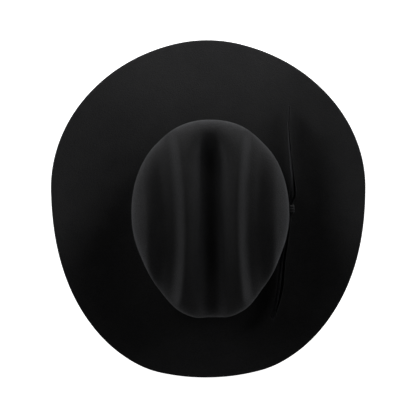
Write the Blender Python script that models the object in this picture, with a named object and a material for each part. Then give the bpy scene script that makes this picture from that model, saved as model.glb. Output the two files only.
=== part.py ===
"""A western felt hat with a cattleman crease, modelled in metres with +Z up.

+X is the wearer's left, where the ribbon bow sits, and -Y is the front. The hat stands on the
front and back of its brim at z = 0. Heights in this file are measured from the brim break, the
line where the crown meets the brim, until everything hangs from one empty that lifts it.
"""

import math

import bmesh
import bpy
import numpy as np

# Felt: one blocked piece, crown and brim together.
FELT_THICKNESS = 0.0026
BASE_HALF_WIDTH = 0.0881
BASE_HALF_LENGTH = 0.1056
BASE_CENTRE_Y = -0.001
BASE_POWER = 2.06
BREAK_MEAN = -0.0008
BREAK_WAVE = 0.0022
FILLET = 0.004

# Brim: side edges rolled up, front and back edges dipped.
BRIM_HALF_WIDTH = 0.1764
BRIM_WIDEST_Y = 0.0297
BRIM_BACK_LENGTH = 0.17575
BRIM_FRONT_LENGTH = 0.2398
BRIM_FRONT_POWER = 2.20
BRIM_BACK_POWER = 1.98
BRIM_FRONT_Y = -0.2055
BRIM_FRONT_RADIUS = 0.270
BRIM_CORNER_SHARPNESS = 135.0
BRIM_RISE = 0.0375
BRIM_DIP = 0.020
BRIM_LEVEL_HALF_WIDTH = 0.045
BRIM_ROLL_POWER = 1.775
BRIM_SECTION_POWER_SIDE = 1.9
BRIM_SECTION_POWER_END = 1.45

# Crown: shoulder outline, heights above the break, and the creases pressed into the dome.
TOP_HALF_WIDTH = 0.0845
TOP_FRONT_LENGTH = 0.1122
TOP_BACK_LENGTH = 0.1022
TOP_CENTRE_Y = 0.0022
TOP_FRONT_POWER = 1.95
TOP_BACK_POWER = 2.1
PINCH_DEPTH = 0.0030
PINCH_Y = -0.054
PINCH_SPREAD = 0.030
SHOULDER_SIDE = 0.0777
SHOULDER_END = 0.0847
APEX = 0.1166
CROWN_PITCH = -0.027
CREASE_WIDE = (0.0173, 0.0191)
CREASE_NARROW = (0.0114, 0.0125)
CREASE_POWER = 3.11
CREASE_SPREAD = -0.02
CREASE_BACK = 0.12
CREASE_BACK_START = 0.048
CREASE_FRONT = 0.57
CREASE_FRONT_START = 0.029
RIDGE_X = 0.0228
RIDGE_SPREAD = 0.0045
RIDGE_WAIST_Y = -0.0
DENT_DEPTH = 0.0114
DENT_INNER = 0.0183
DENT_FLOOR = 0.0046
DENT_OUTER = 0.0239
DENT_BACK = 0.112
DENT_FRONT = 0.106
DENT_FADE = 0.032

# Ribbon band and bow, both stiff grosgrain.
CLEARANCE = 0.0004
BAND_HEIGHT = 0.025
BAND_THICKNESS = 0.0009
BAND_FOOT = 0.0045
RIBBON_THICKNESS = 0.0008
BOW_HEIGHT = 0.016
BOW_ROOT_HEIGHT = 0.0105
BOW_CENTRE_HEIGHT = 0.0145
BOW_GATHER_LENGTH = 0.022
KNOT_CENTRE = (0.0955, 0.0045)
KNOT_HALF_DEPTH = 0.0031
KNOT_HALF_HEIGHT = 0.0072
KNOT_WRAP = 0.0011
KNOT_HALF_LENGTH = 0.0052
# Each loop in plan: out along its inner leaf, round the fold and back along its outer leaf.
REAR_LOOP = [
    (0.0948, 0.0063), (0.0951, 0.0125), (0.0964, 0.024), (0.0970, 0.042), (0.0954, 0.062),
    (0.0938, 0.083), (0.0930, 0.100), (0.0937, 0.1208), (0.0944, 0.1222), (0.0951, 0.1208),
    (0.0944, 0.100), (0.0953, 0.083), (0.0970, 0.062), (0.0988, 0.043), (0.1007, 0.027),
    (0.1002, 0.0185), (0.0970, 0.0125), (0.0963, 0.0063),
]
FRONT_LOOP = [
    (0.0947, 0.0028), (0.0944, -0.0020), (0.0910, -0.020), (0.0870, -0.041), (0.0838, -0.059),
    (0.0820, -0.075), (0.0798, -0.094), (0.0764, -0.111), (0.0728, -0.1234), (0.0729, -0.1247),
    (0.0741, -0.1237), (0.0784, -0.112), (0.0822, -0.100), (0.0856, -0.084), (0.0867, -0.070),
    (0.0882, -0.053), (0.0904, -0.040), (0.0928, -0.021), (0.0957, -0.003), (0.0962, 0.0028),
]

# Sweatband, its reed and tape, and the satin lining, as depths in from the felt's outer face.
LINING_FACE = 0.0031
LINING_THICKNESS = 0.0005
LINING_SIDE_STEPS = (2.35, 2.7, 3.0, 3.13, 3.26)
LINING_SEAM = 3.39
LINING_SEAM_GAP = 0.02
PIPING_RADIUS = 0.0008
SWEATBAND_FACE = 0.0039
SWEATBAND_THICKNESS = 0.0012
SWEATBAND_FOOT = 0.0042
SWEATBAND_TOP = 0.057
SWEATBAND_HALF_GAP = 0.0003
REED_RADIUS = 0.0010
REED_DEPTH = 0.0050
REED_HEIGHT = 0.0012
TAPE_THICKNESS = 0.0004
TAPE_TOP = 0.0092
THREAD_RADIUS = 0.00025
STITCH_HEIGHT = 0.0068
SEAM_STITCHES = 9
SEAM_HALF_WIDTH = 0.0018
INNER_BOW_HEIGHT = 0.005
INNER_BOW_CENTRE = 0.020
INNER_BOW_THICKNESS = 0.0004
INNER_BOW_ROOT = 0.6
INNER_BOW_GATHER = 0.008
INNER_KNOT_HALF_DEPTH = 0.0011
INNER_KNOT_HALF_HEIGHT = 0.0024
INNER_KNOT_HALF_LENGTH = 0.0018
# Reach from the middle, in metres, and lift off the leather, in ribbon thicknesses.
INNER_BOW_SHAPE = [
    (0.0008, 1.6), (0.004, 1.0), (0.010, 1.0), (0.0148, 1.8), (0.0155, 3.2),
    (0.0148, 4.6), (0.010, 6.0), (0.004, 5.6), (0.0008, 4.4),
]

# Mesh fineness. Stations crowd towards the front and back, where the centre crease runs.
STATIONS = 72
CROWDING = 0.12
BRIM_STEPS = (0.0, 0.15, 0.31, 0.48, 0.66, 0.84, 1.0)
FILLET_STEPS = (1.5, 2.0)
WALL_STEPS = (2.35, 2.7, 3.0)
DOME_STEPS = (3.13, 3.26, 3.39, 3.51, 3.63, 3.74, 3.85, 3.94)


def smooth_rise(value, start, end):
    """0 before start and 1 after end, with no jump in slope or bend."""
    t = np.clip((value - start) / (end - start), 0.0, 1.0)
    return t * t * t * (t * (6.0 * t - 15.0) + 10.0)


def oval_radius(u, half_width, front, back, power_front, power_back):
    """Distance from an oval's centre to its outline in the direction u."""
    length = np.where(np.sin(u) > 0.0, back, front)
    power = np.where(np.sin(u) > 0.0, power_back, power_front)
    across = (np.abs(np.cos(u)) / half_width) ** power
    along = (np.abs(np.sin(u)) / length) ** power
    return (across + along) ** (-1.0 / power)


def base_outline(u):
    """The break line in plan."""
    r = oval_radius(u, BASE_HALF_WIDTH, BASE_HALF_LENGTH, BASE_HALF_LENGTH, BASE_POWER, BASE_POWER)
    return r * np.cos(u), BASE_CENTRE_Y + r * np.sin(u)


def base_normal(u):
    """The break line's outward direction in plan."""
    step = 1e-4
    ahead = base_outline(u + step)
    behind = base_outline(u - step)
    dx = ahead[0] - behind[0]
    dy = ahead[1] - behind[1]
    size = np.hypot(dx, dy)
    return dy / size, -dx / size


def top_outline(u):
    """The crown's widest line near its shoulder, pinched at both sides of the front."""
    r = oval_radius(
        u, TOP_HALF_WIDTH, TOP_FRONT_LENGTH, TOP_BACK_LENGTH, TOP_FRONT_POWER, TOP_BACK_POWER
    )
    y = TOP_CENTRE_Y + r * np.sin(u)
    r = r - PINCH_DEPTH * np.exp(-(((y - PINCH_Y) / PINCH_SPREAD) ** 2))
    return r * np.cos(u), TOP_CENTRE_Y + r * np.sin(u)


def brim_outline(u):
    """The cut edge: an oval whose front is trimmed by a wider arc, with soft corners."""
    oval = oval_radius(
        u, BRIM_HALF_WIDTH, BRIM_FRONT_LENGTH, BRIM_BACK_LENGTH, BRIM_FRONT_POWER, BRIM_BACK_POWER
    )
    to_centre = BRIM_WIDEST_Y - (BRIM_FRONT_Y + BRIM_FRONT_RADIUS)
    along = np.sin(u) * to_centre
    arc = -along + np.sqrt(along**2 - to_centre**2 + BRIM_FRONT_RADIUS**2)
    m = BRIM_CORNER_SHARPNESS
    scale = np.minimum(oval, arc)
    r = scale * ((oval / scale) ** -m + (arc / scale) ** -m) ** (-1.0 / m)
    return r * np.cos(u), BRIM_WIDEST_Y + r * np.sin(u)


def break_height(u):
    return BREAK_MEAN + BREAK_WAVE * np.cos(2.0 * u)


def crease_depth(x, y):
    """How far the creases press the dome down: one along the middle and a dent at each side."""
    middle = CREASE_WIDE[0] * np.exp(-((x / CREASE_WIDE[1]) ** 2))
    narrow = CREASE_NARROW[1] * (1.0 + CREASE_SPREAD * (y / 0.09) ** 2)
    middle = middle + CREASE_NARROW[0] * np.exp(-((np.abs(x) / narrow) ** CREASE_POWER))
    back = 1.0 - (1.0 - CREASE_BACK) * smooth_rise(y, CREASE_BACK_START, 0.105)
    front = 1.0 - (1.0 - CREASE_FRONT) * smooth_rise(-y, CREASE_FRONT_START, 0.110)
    ridge = RIDGE_X + RIDGE_SPREAD * ((y - RIDGE_WAIST_Y) / 0.07) ** 2
    floor = ridge + DENT_INNER
    lip = floor + DENT_FLOOR
    across = np.abs(x)
    dent = DENT_DEPTH * smooth_rise(across, ridge, floor)
    dent = dent * (1.0 - smooth_rise(across, lip, lip + DENT_OUTER))
    dent = dent * smooth_rise(-y, -DENT_BACK, -DENT_BACK + DENT_FADE)
    dent = dent * smooth_rise(y, -DENT_FRONT, -DENT_FRONT + DENT_FADE)
    return middle * back * front + dent


def felt_point(u, v):
    """A point on the felt's outer face, above the break.

    v runs 0 to 1 in from the brim's edge, 1 to 2 up the fillet, 2 to 3 up the wall and 3 to 4
    over the dome to the top.
    """
    u, v = np.broadcast_arrays(np.asarray(u, float), np.asarray(v, float))
    base_x, base_y = base_outline(u)
    out_x, out_y = base_normal(u)
    top_x, top_y = top_outline(u)
    edge_x, edge_y = brim_outline(u)
    low = break_height(u)
    shoulder = SHOULDER_SIDE + (SHOULDER_END - SHOULDER_SIDE) * np.sin(u) ** 2

    t = np.clip(1.0 - v, 0.0, 1.0)
    rolled = np.clip(np.abs(edge_x) - BRIM_LEVEL_HALF_WIDTH, 0.0, None)
    rolled = rolled / (BRIM_HALF_WIDTH - BRIM_LEVEL_HALF_WIDTH)
    edge_height = -BRIM_DIP + (BRIM_RISE + BRIM_DIP) * rolled**BRIM_ROLL_POWER
    power = BRIM_SECTION_POWER_END
    power = power + (BRIM_SECTION_POWER_SIDE - power) * np.cos(u) ** 2
    root_x = base_x + FILLET * out_x
    root_y = base_y + FILLET * out_y
    brim = (
        root_x + (edge_x - root_x) * t,
        root_y + (edge_y - root_y) * t,
        low + (edge_height - low) * t**power,
    )

    turn = np.clip(v - 1.0, 0.0, 1.0) * math.pi / 2
    fillet = (
        base_x + out_x * FILLET * (1.0 - np.sin(turn)),
        base_y + out_y * FILLET * (1.0 - np.sin(turn)),
        low + FILLET * (1.0 - np.cos(turn)),
    )

    q = np.clip(v - 2.0, 0.0, 1.0)
    lean = q * q * (3.0 - 2.0 * q)
    rim = shoulder - CROWN_PITCH * top_y - crease_depth(top_x, top_y)
    wall = (
        base_x + (top_x - base_x) * lean,
        base_y + (top_y - base_y) * lean,
        low + FILLET + (rim - low - FILLET) * q,
    )

    over = np.clip(v - 3.0, 0.0, 1.0) * math.pi / 2
    x = top_x * np.cos(over)
    y = TOP_CENTRE_Y + (top_y - TOP_CENTRE_Y) * np.cos(over)
    z = shoulder + (APEX - shoulder) * np.sin(over)
    dome = (x, y, z - CROWN_PITCH * y - crease_depth(x, y))

    zones = [v <= 1.0, v <= 2.0, v <= 3.0]
    return np.stack(
        [np.select(zones, [brim[i], fillet[i], wall[i]], dome[i]) for i in range(3)], axis=-1
    )


def felt_normal(u, v):
    """The felt's outward direction, from points a small step to each side."""
    step = 1e-4
    v = np.clip(v, step, 4.0 - 0.01)
    along = felt_point(u + step, v) - felt_point(u - step, v)
    up = felt_point(u, v + step) - felt_point(u, v - step)
    normal = np.cross(along, up)
    return normal / np.linalg.norm(normal, axis=-1, keepdims=True)


def layer_point(u, v, depth):
    """A point at a depth in from the felt's outer face."""
    return felt_point(u, v) - depth * felt_normal(u, v)


def wall_point(u, height, depth):
    """A point at a height above the break and a depth in from the wall's outer face."""
    u = np.asarray(u, float)
    if height < FILLET:
        x, y = base_outline(u)
        out_x, out_y = base_normal(u)
        return np.stack([x - out_x * depth, y - out_y * depth, break_height(u) + height], axis=-1)
    top = felt_point(u, 3.0)[..., 2]
    low = break_height(u) + FILLET
    v = 2.0 + (height - FILLET) / (top - low)
    return layer_point(u, v, depth)


def stations():
    s = np.arange(STATIONS) * 2.0 * math.pi / STATIONS
    return s + CROWDING * np.sin(2.0 * s)


def apex_point(depth):
    """The middle of the dome, where every station meets."""
    return np.array([0.0, TOP_CENTRE_Y, felt_point(0.0, 4.0)[2] - depth])


def material(name, color, roughness, metallic=0.0):
    made = bpy.data.materials.new(name)
    made.use_nodes = True
    shader = made.node_tree.nodes["Principled BSDF"]
    shader.inputs["Base Color"].default_value = (*color, 1.0)
    shader.inputs["Roughness"].default_value = roughness
    shader.inputs["Metallic"].default_value = metallic
    return made


def finish(name, data, surface, frame):
    """Adds an object that hangs from the frame, with its one material."""
    made = bpy.data.objects.new(name, data)
    data.materials.append(surface)
    bpy.context.scene.collection.objects.link(made)
    made.parent = frame
    return made


def mesh_object(name, points, faces, surface, frame):
    """A closed mesh with its faces turned outwards and its round parts shaded smooth."""
    mesh = bpy.data.meshes.new(name)
    mesh.from_pydata([tuple(point) for point in points], [], faces)
    work = bmesh.new()
    work.from_mesh(mesh)
    bmesh.ops.recalc_face_normals(work, faces=work.faces)
    work.to_mesh(mesh)
    work.free()
    mesh.shade_smooth()
    mesh.set_sharp_from_angle(angle=math.radians(40))
    return finish(name, mesh, surface, frame)


def two_triangles(low_i, low_j, high_i, high_j):
    """A patch between two stations, always split the same way, so that layers stay parallel."""
    return [(low_i, low_j, high_j), (low_i, high_j, high_i)]


def cap_shell(name, steps, outer, inner, surface, frame):
    """A dome-like shell between two depths, open below, whose stations meet in one top point."""
    u = stations()
    rings = [layer_point(u, v, outer) for v in steps]
    rings += [layer_point(u, v, inner) for v in reversed(steps)]
    points = np.concatenate(rings + [[apex_point(outer)], [apex_point(inner)]])
    count = len(rings)
    half = len(steps)
    top_outside = count * STATIONS
    faces = []
    for i in range(STATIONS):
        j = (i + 1) % STATIONS
        for ring in range(count):
            if ring == half - 1:
                continue
            low, high = ring, (ring + 1) % count
            if ring >= half:
                low, high = high, low
            faces += two_triangles(low * STATIONS + i, low * STATIONS + j,
                                   high * STATIONS + i, high * STATIONS + j)
        faces.append(((half - 1) * STATIONS + i, (half - 1) * STATIONS + j, top_outside))
        faces.append((half * STATIONS + j, half * STATIONS + i, top_outside + 1))
    return mesh_object(name, points, faces, surface, frame)


def loft(name, sections, closed, surface, frame):
    """Joins equal closed sections in order, as a ring when closed or else with end caps."""
    count = len(sections)
    size = len(sections[0])
    points = np.concatenate(sections)
    faces = []
    for a in range(count if closed else count - 1):
        b = (a + 1) % count
        for i in range(size):
            low, high = i, (i + 1) % size
            if i >= size // 2:
                low, high = high, low
            faces += two_triangles(a * size + low, b * size + low, a * size + high, b * size + high)
    if not closed:
        faces.append(tuple(range(size - 1, -1, -1)))
        faces.append(tuple(range((count - 1) * size, count * size)))
    return mesh_object(name, points, faces, surface, frame)


def ring_of(name, corners, surface, frame):
    """A ring inside the crown; each corner is a function from stations to points."""
    u = stations()
    edges = [corner(u) for corner in corners]
    sections = [np.array([edge[i] for edge in edges]) for i in range(STATIONS)]
    return loft(name, sections, True, surface, frame)


def cord(name, points, radius, sides_level, closed, surface, frame):
    """A round cord through the points, as a bevelled curve."""
    curve = bpy.data.curves.new(name, "CURVE")
    curve.dimensions = "3D"
    curve.bevel_depth = radius
    curve.bevel_resolution = sides_level
    curve.use_fill_caps = True
    line = curve.splines.new("POLY")
    line.points.add(len(points) - 1)
    for place, point in zip(line.points, points):
        place.co = (*point, 1.0)
    line.use_cyclic_u = closed
    return finish(name, curve, surface, frame)


def smooth_path(points, steps):
    """A smooth curve through a few points, read at several steps between each pair."""
    points = np.array(points, float)
    before = np.vstack([2 * points[0] - points[1], points, 2 * points[-1] - points[-2]])
    path = []
    for i in range(1, len(points)):
        a, b, c, d = before[i - 1], before[i], before[i + 1], before[i + 2]
        for k in range(steps):
            t = k / steps
            bend = 2 * b + (c - a) * t + (2 * a - 5 * b + 4 * c - d) * t**2
            path.append(0.5 * (bend + (3 * b - a - 3 * c + d) * t**3))
    path.append(points[-1])
    return np.array(path)


def ribbon_loop(name, path, height, root_height, gather, centre_z, thickness, surface, frame):
    """A ribbon standing on edge along a plan path, gathered narrower at both of its ends."""
    steps = np.linalg.norm(np.diff(path, axis=0), axis=1)
    travel = np.concatenate([[0.0], np.cumsum(steps)])
    from_end = np.minimum(travel, travel[-1] - travel)
    half = 0.5 * (root_height + (height - root_height) * smooth_rise(from_end, 0.0, gather))
    ahead = np.gradient(path, axis=0)
    ahead /= np.linalg.norm(ahead, axis=1, keepdims=True)
    side = np.stack([-ahead[:, 1], ahead[:, 0]], axis=1) * thickness / 2
    sections = []
    for place, offset, reach in zip(path, side, half):
        left = place + offset
        right = place - offset
        sections.append(np.array([
            (*left, centre_z - reach), (*right, centre_z - reach),
            (*right, centre_z + reach), (*left, centre_z + reach),
        ]))
    return loft(name, sections, False, surface, frame)


def knot_ring(name, centre, half_depth, half_height, wrap, half_length, inward, surface, frame):
    """A ribbon wrap around the gathered ribbon, thicker in the middle of its width.

    inward is the plan direction across the wrap's depth, square to the ribbon that it holds.
    """
    inward = np.array([*inward, 0.0])
    along = np.array([-inward[1], inward[0], 0.0])
    sections = []
    for turn in np.arange(20) * math.tau / 20:
        out = inward * half_depth * abs(math.cos(turn)) ** 0.6 * np.sign(math.cos(turn))
        out[2] = half_height * abs(math.sin(turn)) ** 0.6 * np.sign(math.sin(turn))
        away = out / np.linalg.norm(out)
        place = np.array(centre) + out
        sections.append(np.array([
            place - along * half_length * 0.86 - away * wrap * 0.4,
            place - along * half_length + away * wrap * 0.2,
            place - along * half_length * 0.55 + away * wrap * 1.3,
            place + along * half_length * 0.55 + away * wrap * 1.3,
            place + along * half_length + away * wrap * 0.2,
            place + along * half_length * 0.86 - away * wrap * 0.4,
        ]))
    return loft(name, sections, True, surface, frame)


def standing_height():
    """How far the brim's lowest edge lies below the break."""
    u = stations()
    return -min(layer_point(u, v, FELT_THICKNESS)[:, 2].min() for v in BRIM_STEPS)


def make_felt(surface, frame):
    steps = BRIM_STEPS + FILLET_STEPS + WALL_STEPS + DOME_STEPS
    cap_shell("felt_body", steps, 0.0, FELT_THICKNESS, surface, frame)


def make_band(surface, frame):
    outer = CLEARANCE + BAND_THICKNESS
    heights = [BAND_FOOT + BAND_HEIGHT * part for part in (0.0, 0.5, 1.0)]
    corners = [lambda u, h=h: wall_point(u, h, -outer) for h in heights]
    corners += [lambda u, h=h: wall_point(u, h, -CLEARANCE) for h in reversed(heights)]
    ring_of("hat_band", corners, surface, frame)


def make_bow(surface, thread, frame):
    """Two long folded loops standing on edge, held by a knot on the wearer's left."""
    for name, points in (("bow_rear_loop", REAR_LOOP), ("bow_front_loop", FRONT_LOOP)):
        ribbon_loop(
            name, smooth_path(points, 3), BOW_HEIGHT, BOW_ROOT_HEIGHT, BOW_GATHER_LENGTH,
            BOW_CENTRE_HEIGHT, RIBBON_THICKNESS, surface, frame,
        )
    centre = (*KNOT_CENTRE, BOW_CENTRE_HEIGHT)
    knot_ring(
        "bow_knot", centre, KNOT_HALF_DEPTH, KNOT_HALF_HEIGHT, KNOT_WRAP, KNOT_HALF_LENGTH,
        (1.0, 0.0), surface, frame,
    )
    x = (BASE_HALF_WIDTH + CLEARANCE + BAND_THICKNESS + KNOT_CENTRE[0] - KNOT_HALF_DEPTH) / 2
    x -= KNOT_WRAP * 0.65
    stitch = [(x, KNOT_CENTRE[1] - 0.002 + 0.001 * i,
               BOW_CENTRE_HEIGHT + 0.0015 * (-1) ** i) for i in range(5)]
    cord("bow_tack_stitch", stitch, THREAD_RADIUS / 2, 0, False, thread, frame)


def make_sweatband(leather, frame):
    """A leather strip around the inside, its two ends meeting at the centre back."""
    reach = SWEATBAND_HALF_GAP / BASE_HALF_WIDTH
    u = stations()
    back = math.pi / 2
    u = np.sort(np.concatenate([(u - back) % math.tau, [reach, math.tau - reach]]))
    u = u[(u >= reach) & (u <= math.tau - reach)] + back
    outer = SWEATBAND_FACE
    inner = SWEATBAND_FACE + SWEATBAND_THICKNESS
    heights = np.linspace(SWEATBAND_FOOT, SWEATBAND_TOP, 4)
    edges = [wall_point(u, h, outer) for h in heights]
    edges += [wall_point(u, h, inner) for h in reversed(heights)]
    sections = [np.array([edge[i] for edge in edges]) for i in range(len(u))]
    loft("sweatband", sections, False, leather, frame)


def make_reed(plastic, frame):
    points = wall_point(stations(), REED_HEIGHT, REED_DEPTH)
    cord("sweatband_reed", points, REED_RADIUS, 1, True, plastic, frame)


def make_reed_tape(cloth, frame):
    """A tape folded under the reed, its two legs holding the sweatband's lower edge."""
    around = REED_RADIUS + CLEARANCE + TAPE_THICKNESS / 2
    leg_out = SWEATBAND_FACE - CLEARANCE - TAPE_THICKNESS / 2
    leg_in = SWEATBAND_FACE + SWEATBAND_THICKNESS + CLEARANCE + TAPE_THICKNESS / 2
    path = [(leg_out, TAPE_TOP), (REED_DEPTH - around, REED_HEIGHT + REED_RADIUS)]
    path += [(REED_DEPTH - around * math.cos(math.radians(a)),
              REED_HEIGHT - around * math.sin(math.radians(a))) for a in (45, 135)]
    path += [(REED_DEPTH + around, REED_HEIGHT + REED_RADIUS), (leg_in, TAPE_TOP)]
    path = np.array(path)
    ahead = np.gradient(path, axis=0)
    ahead /= np.linalg.norm(ahead, axis=1, keepdims=True)
    side = np.stack([-ahead[:, 1], ahead[:, 0]], axis=1) * TAPE_THICKNESS / 2
    loop = np.concatenate([path + side, (path - side)[::-1]])
    corners = [lambda u, d=depth, h=height: wall_point(u, h, d) for depth, height in loop]
    ring_of("reed_tape", corners, cloth, frame)


def make_stitching(thread, frame):
    face = SWEATBAND_FACE + SWEATBAND_THICKNESS + CLEARANCE + TAPE_THICKNESS
    depth = face + 2 * CLEARANCE + THREAD_RADIUS
    row = wall_point(stations(), STITCH_HEIGHT, depth)
    cord("sweatband_stitching", row, THREAD_RADIUS, 0, True, thread, frame)
    inner = SWEATBAND_FACE + SWEATBAND_THICKNESS + CLEARANCE + THREAD_RADIUS
    zigzag = []
    heights = np.linspace(TAPE_TOP + 0.003, SWEATBAND_TOP - 0.003, SEAM_STITCHES * 2)
    for i, height in enumerate(heights):
        u = math.pi / 2 + (-1) ** i * SEAM_HALF_WIDTH / BASE_HALF_WIDTH
        zigzag.append(wall_point(u, height, inner))
    cord("sweatband_seam_thread", zigzag, THREAD_RADIUS, 0, False, thread, frame)


def make_inner_bow(ribbon, frame):
    """The small flat bow that marks the back of the sweatband."""
    depth = SWEATBAND_FACE + SWEATBAND_THICKNESS + 2 * THREAD_RADIUS + 3 * CLEARANCE
    thick = INNER_BOW_THICKNESS
    for name, side in (("sweatband_bow_left", 1), ("sweatband_bow_right", -1)):
        path = []
        for reach, lift in INNER_BOW_SHAPE:
            u = math.pi / 2 - side * reach / BASE_HALF_WIDTH
            point = wall_point(u, INNER_BOW_CENTRE, depth + lift * thick)
            path.append(point[:2])
        centre_z = wall_point(math.pi / 2, INNER_BOW_CENTRE, depth)[2]
        ribbon_loop(name, smooth_path(path, 2), INNER_BOW_HEIGHT, INNER_BOW_HEIGHT * INNER_BOW_ROOT,
                    INNER_BOW_GATHER, centre_z, thick, ribbon, frame)
    centre = wall_point(math.pi / 2, INNER_BOW_CENTRE, depth + 3.0 * thick)
    knot_ring("sweatband_bow_knot", centre, INNER_KNOT_HALF_DEPTH, INNER_KNOT_HALF_HEIGHT,
              thick, INNER_KNOT_HALF_LENGTH, (0.0, -1.0), ribbon, frame)


def make_lining(satin, frame):
    """The side lining tucks behind the sweatband and meets the tip lining at a corded seam."""
    outer = LINING_FACE
    inner = LINING_FACE + LINING_THICKNESS
    seam = LINING_SEAM - LINING_SEAM_GAP / 2
    side_steps = LINING_SIDE_STEPS + (seam,)
    corners = [lambda u, v=v: layer_point(u, v, outer) for v in side_steps]
    corners += [lambda u, v=v: layer_point(u, v, inner) for v in reversed(side_steps)]
    ring_of("lining_side", corners, satin, frame)
    steps = (LINING_SEAM + LINING_SEAM_GAP / 2,) + tuple(v for v in DOME_STEPS if v > LINING_SEAM + 0.04)
    cap_shell("lining_tip", steps, outer, inner, satin, frame)
    depth = inner + CLEARANCE + PIPING_RADIUS
    points = layer_point(stations(), LINING_SEAM, depth)
    cord("lining_piping", points, PIPING_RADIUS, 1, True, satin, frame)


def main():
    for old in list(bpy.data.objects):
        bpy.data.objects.remove(old)
    frame = bpy.data.objects.new("hat_frame", None)
    frame.location.z = standing_height()
    bpy.context.scene.collection.objects.link(frame)

    felt = material("black_felt", (0.012, 0.012, 0.013), 0.95)
    grosgrain = material("black_grosgrain", (0.010, 0.010, 0.011), 0.6)
    thread = material("black_thread", (0.02, 0.02, 0.02), 0.6)
    leather = material("black_leather", (0.018, 0.016, 0.015), 0.45)
    plastic = material("reed_plastic", (0.55, 0.55, 0.52), 0.4)
    tape = material("black_tape", (0.015, 0.015, 0.016), 0.7)
    satin = material("black_satin", (0.02, 0.02, 0.022), 0.35)

    make_felt(felt, frame)
    make_band(grosgrain, frame)
    make_bow(grosgrain, thread, frame)
    make_sweatband(leather, frame)
    make_reed(plastic, frame)
    make_reed_tape(tape, frame)
    make_stitching(thread, frame)
    make_inner_bow(grosgrain, frame)
    make_lining(satin, frame)


main()
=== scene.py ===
"""A black felt western hat with a cattleman crease, its ribbon, bow, sweatband and lining.

Everything is in metres in the hat's own frame: +X is the wearer's left, -Y the front, and the hat
stands on the front and back of its brim at z = 0. Shape formulas give heights above the brim
break, the line where crown and brim meet; place() lifts them into the frame.
"""

import math

import bpy
import numpy as np
from mathutils import Matrix, Vector


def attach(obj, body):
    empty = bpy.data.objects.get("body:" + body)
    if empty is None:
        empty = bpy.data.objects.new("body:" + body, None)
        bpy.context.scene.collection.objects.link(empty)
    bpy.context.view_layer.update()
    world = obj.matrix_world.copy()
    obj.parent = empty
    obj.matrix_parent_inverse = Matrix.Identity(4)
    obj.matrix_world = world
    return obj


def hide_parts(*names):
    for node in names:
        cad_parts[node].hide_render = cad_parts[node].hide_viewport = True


# Felt body.
FELT_THICKNESS = 0.0026
BASE_HALF_WIDTH = 0.0881
BASE_HALF_LENGTH = 0.1056
BASE_CENTRE_Y = -0.001
BASE_POWER = 2.06
BREAK_MEAN = -0.0008
BREAK_WAVE = 0.0022
FILLET = 0.004

# Brim: side edges rolled up, front and back edges dipped.
BRIM_HALF_WIDTH = 0.1764
BRIM_WIDEST_Y = 0.0297
BRIM_BACK_LENGTH = 0.17575
BRIM_FRONT_LENGTH = 0.2398
BRIM_FRONT_POWER = 2.20
BRIM_BACK_POWER = 1.98
BRIM_FRONT_Y = -0.2055
BRIM_FRONT_RADIUS = 0.270
BRIM_CORNER_SHARPNESS = 135.0
BRIM_RISE = 0.0375
BRIM_DIP = 0.020
BRIM_LEVEL_HALF_WIDTH = 0.045
BRIM_ROLL_POWER = 1.775
BRIM_SECTION_POWER_SIDE = 1.9
BRIM_SECTION_POWER_END = 1.45

# Crown: shoulder outline, heights above the break, and the creases pressed into the dome.
TOP_HALF_WIDTH = 0.0845
TOP_FRONT_LENGTH = 0.1122
TOP_BACK_LENGTH = 0.1022
TOP_CENTRE_Y = 0.0022
TOP_FRONT_POWER = 1.95
TOP_BACK_POWER = 2.1
PINCH_DEPTH = 0.0030
PINCH_Y = -0.054
PINCH_SPREAD = 0.030
SHOULDER_SIDE = 0.0777
SHOULDER_END = 0.0847
APEX = 0.1166
CROWN_PITCH = -0.027
# The centre crease is a broad hollow with a steeper one in it, each a depth and a half width.
CREASE_WIDE = (0.0173, 0.0191)
CREASE_NARROW = (0.0114, 0.0125)
CREASE_POWER = 3.11
CREASE_SPREAD = -0.02
# How much of its depth is left at the crown's back and front, and where it starts to fade.
CREASE_BACK = 0.12
CREASE_BACK_START = 0.048
CREASE_FRONT = 0.57
CREASE_FRONT_START = 0.029
# A ridge runs along each side of the crease, nearest to it at the waist, with a dent beyond it.
RIDGE_X = 0.0228
RIDGE_SPREAD = 0.0045
RIDGE_WAIST_Y = 0.0
DENT_DEPTH = 0.0114
DENT_INNER = 0.0183
DENT_FLOOR = 0.0046
DENT_OUTER = 0.0239
DENT_BACK = 0.112
DENT_FRONT = 0.106
DENT_FADE = 0.032

# Ribbon band and bow.
CLEARANCE = 0.0004
BAND_HEIGHT = 0.025
BAND_THICKNESS = 0.0009
BAND_FOOT = 0.0045
RIBBON_THICKNESS = 0.0008
BOW_HEIGHT = 0.016
BOW_ROOT_HEIGHT = 0.0105
BOW_CENTRE_HEIGHT = 0.0145
BOW_GATHER_LENGTH = 0.022
KNOT_CENTRE = (0.0955, 0.0045)
KNOT_HALF_DEPTH = 0.0031
KNOT_HALF_HEIGHT = 0.0072
KNOT_WRAP = 0.0011
KNOT_HALF_LENGTH = 0.0052
RIB_PITCH = 0.0011
RIB_RELIEF = 0.00009
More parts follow.
